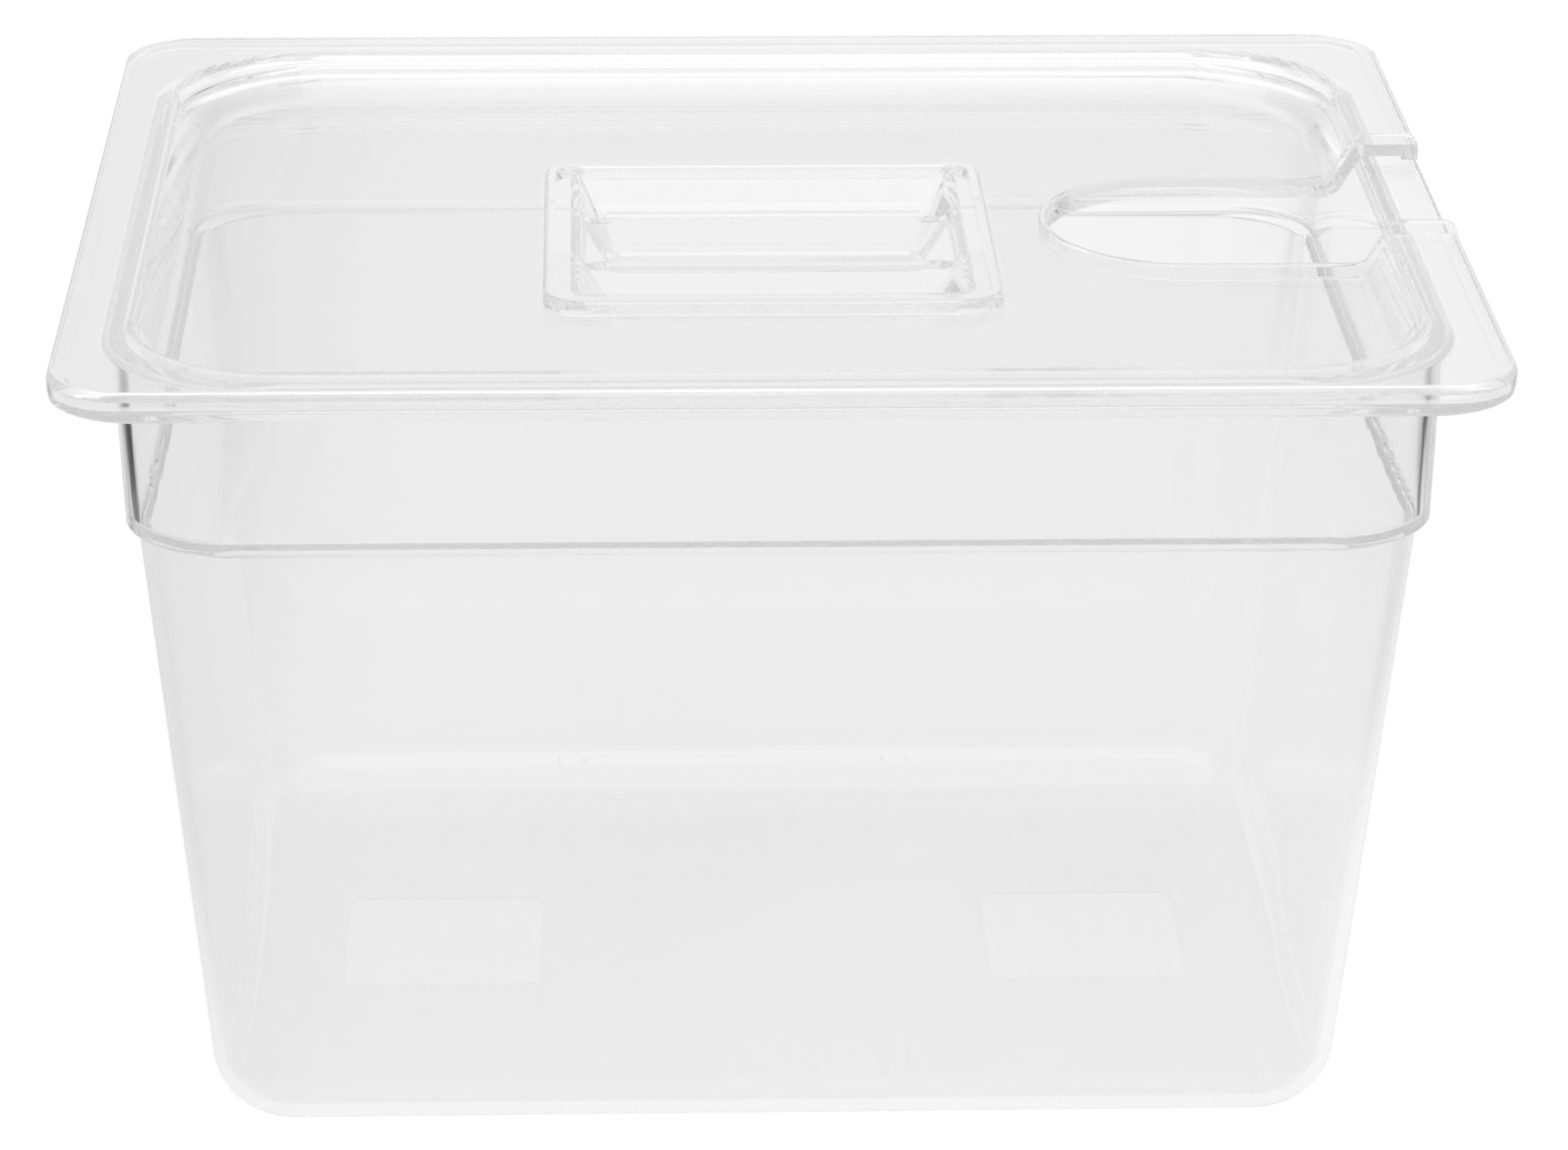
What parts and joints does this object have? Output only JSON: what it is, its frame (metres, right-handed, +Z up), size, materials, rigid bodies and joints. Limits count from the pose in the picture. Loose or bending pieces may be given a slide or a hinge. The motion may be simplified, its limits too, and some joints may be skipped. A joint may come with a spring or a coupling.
{
  "type": "sous vide container",
  "caption": "Clear rectangular food pan with a stacking shoulder and tapered walls, and a loose lid with a sunken panel, a moulded bar handle and a U-shaped notch for a circulator.",
  "frame": {"origin": "middle of the pan's base, on the surface it stands on", "axes": "+X along the 325 mm side towards the lid's notch, -Y to the front, +Z up"},
  "size_m": [0.325, 0.265, 0.203],
  "materials": {
    "pan_polycarbonate": "clear, polished",
    "lid_polycarbonate": "clear, polished"
  },
  "bodies": {
    "pan": {"pan": "pan_polycarbonate"},
    "lid": {"lid": "lid_polycarbonate"}
  },
  "joints": [
    {"name": "lid_lift", "type": "slide", "parent": "pan", "child": "lid", "axis": [0, 0, 1], "range_m": [0, 0.1]}
  ]
}
